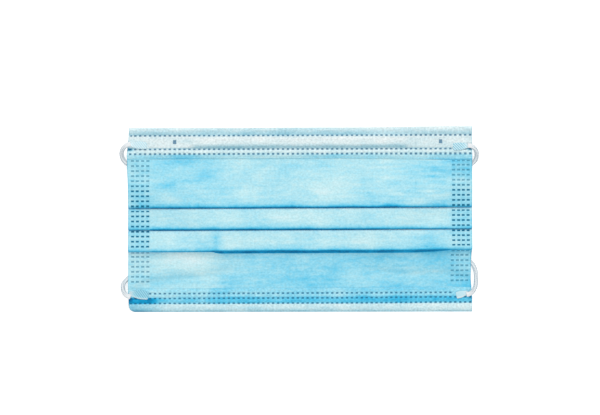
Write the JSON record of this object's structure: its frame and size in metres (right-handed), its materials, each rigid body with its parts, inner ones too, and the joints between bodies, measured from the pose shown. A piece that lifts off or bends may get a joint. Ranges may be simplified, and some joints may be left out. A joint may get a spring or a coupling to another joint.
{
  "type": "surgical face mask",
  "caption": "Flat-folded pleated surgical face mask lying on its back: blue pleated panel, white hems, a nose wire and round elastic ear loops.",
  "frame": {"origin": "middle of the folded mask's width and height, on the surface that it lies on", "axes": "+X along the mask's width, to the right in its front view; +Y from the chin edge to the nose edge; +Z out of its front face"},
  "size_m": [0.1822, 0.0936, 0.0073],
  "materials": {
    "blue_nonwoven": "pale blue spunbond polypropylene outside and white inside, matt, with a fine embossed grain and rows of welded dots",
    "white_nonwoven": "thin white spunbond polypropylene that lets the blue cloth under it show through, matt, with rows of welded dots",
    "nose_wire_coating": "white plastic coating over a soft steel wire",
    "white_elastic": "round knitted elastic, soft and matt",
    "pressed_elastic": "the elastic's end pressed flat and welded, with a slanting hatch"
  },
  "bodies": {
    "root": {"pleated_panel": "blue_nonwoven", "top_hem": "white_nonwoven", "bottom_hem": "white_nonwoven", "nose_wire": "nose_wire_coating", "ear_loop_left": "white_elastic", "ear_loop_right": "white_elastic", "ear_loop_weld_top_left": "pressed_elastic", "ear_loop_weld_top_right": "pressed_elastic", "ear_loop_weld_bottom_left": "pressed_elastic", "ear_loop_weld_bottom_right": "pressed_elastic"}
  },
  "joints": []
}
